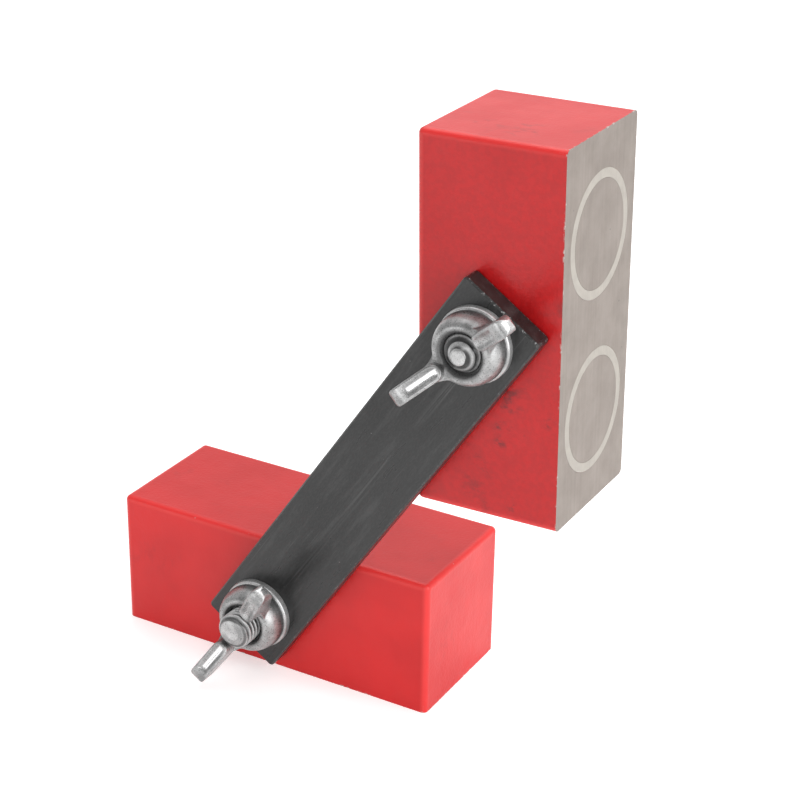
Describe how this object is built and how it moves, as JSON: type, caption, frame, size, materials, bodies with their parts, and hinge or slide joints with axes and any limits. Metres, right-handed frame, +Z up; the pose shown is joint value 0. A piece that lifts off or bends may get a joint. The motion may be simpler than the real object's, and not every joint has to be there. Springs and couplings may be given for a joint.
{
  "type": "adjustable magnet block pair",
  "caption": "Red magnet blocks joined by a black flat link bar with wing nuts, so that they hold steel parts at any angle while they are joined.",
  "frame": {"origin": "centre of the lower block's working face, on the steel that it grips", "axes": "+X along the lower block towards the upper block, +Z up away from the working face, wing nuts on the -Y side"},
  "size_m": [0.136, 0.0638, 0.1666],
  "materials": {
    "red_paint": "semi-gloss red enamel on five faces, the working face ground bare",
    "ground_steel": "surface ground",
    "spacer_metal": "dull, ground flush with the face",
    "magnet_nickel": "nickel plated magnet, hidden in its pocket",
    "blackened_steel": "satin black, worn at the edges",
    "zinc_plate": "zinc plated"
  },
  "bodies": {
    "lower_magnet_block": {"lower_block": "red_paint", "lower_magnet_left": "magnet_nickel", "lower_pole_left": "ground_steel", "lower_spacer_ring_left": "spacer_metal", "lower_magnet_right": "magnet_nickel", "lower_pole_right": "ground_steel", "lower_spacer_ring_right": "spacer_metal", "lower_stud": "zinc_plate"},
    "link": {"link_bar": "blackened_steel"},
    "upper_magnet_block": {"upper_block": "red_paint", "upper_magnet_bottom": "magnet_nickel", "upper_pole_bottom": "ground_steel", "upper_spacer_ring_bottom": "spacer_metal", "upper_magnet_top": "magnet_nickel", "upper_pole_top": "ground_steel", "upper_spacer_ring_top": "spacer_metal", "upper_stud": "zinc_plate"},
    "lower_washer": {"lower_washer": "zinc_plate"},
    "lower_nut": {"lower_wing_nut": "zinc_plate"},
    "upper_washer": {"upper_washer": "zinc_plate"},
    "upper_nut": {"upper_wing_nut": "zinc_plate"}
  },
  "joints": [
    {"name": "link_pivot", "type": "hinge", "parent": "lower_magnet_block", "child": "link", "pos_m": [0, -0.02, 0.02], "axis": [0, -1, 0], "continuous": true},
    {"name": "block_pivot", "type": "hinge", "parent": "link", "child": "upper_magnet_block", "pos_m": [0.06487, -0.02, 0.11617], "axis": [0, -1, 0], "continuous": true},
    {"name": "lower_washer_travel", "type": "slide", "parent": "lower_magnet_block", "child": "lower_washer", "axis": [0, -1, 0], "range_m": [0, 0.003]},
    {"name": "lower_nut_turn", "type": "hinge", "parent": "lower_washer", "child": "lower_nut", "pos_m": [0, -0.028, 0.02], "axis": [0, -1, 0], "range_deg": [0, 720]},
    {"name": "upper_washer_travel", "type": "slide", "parent": "upper_magnet_block", "child": "upper_washer", "axis": [0, -1, 0], "range_m": [0, 0.003]},
    {"name": "upper_nut_turn", "type": "hinge", "parent": "upper_washer", "child": "upper_nut", "pos_m": [0.06487, -0.028, 0.11617], "axis": [0, -1, 0], "range_deg": [0, 720]}
  ],
  "couplings": [
    {"joint": "lower_washer_travel", "follows": "lower_nut_turn", "m_per_rad": 0.00023873},
    {"joint": "upper_washer_travel", "follows": "upper_nut_turn", "m_per_rad": 0.00023873}
  ]
}
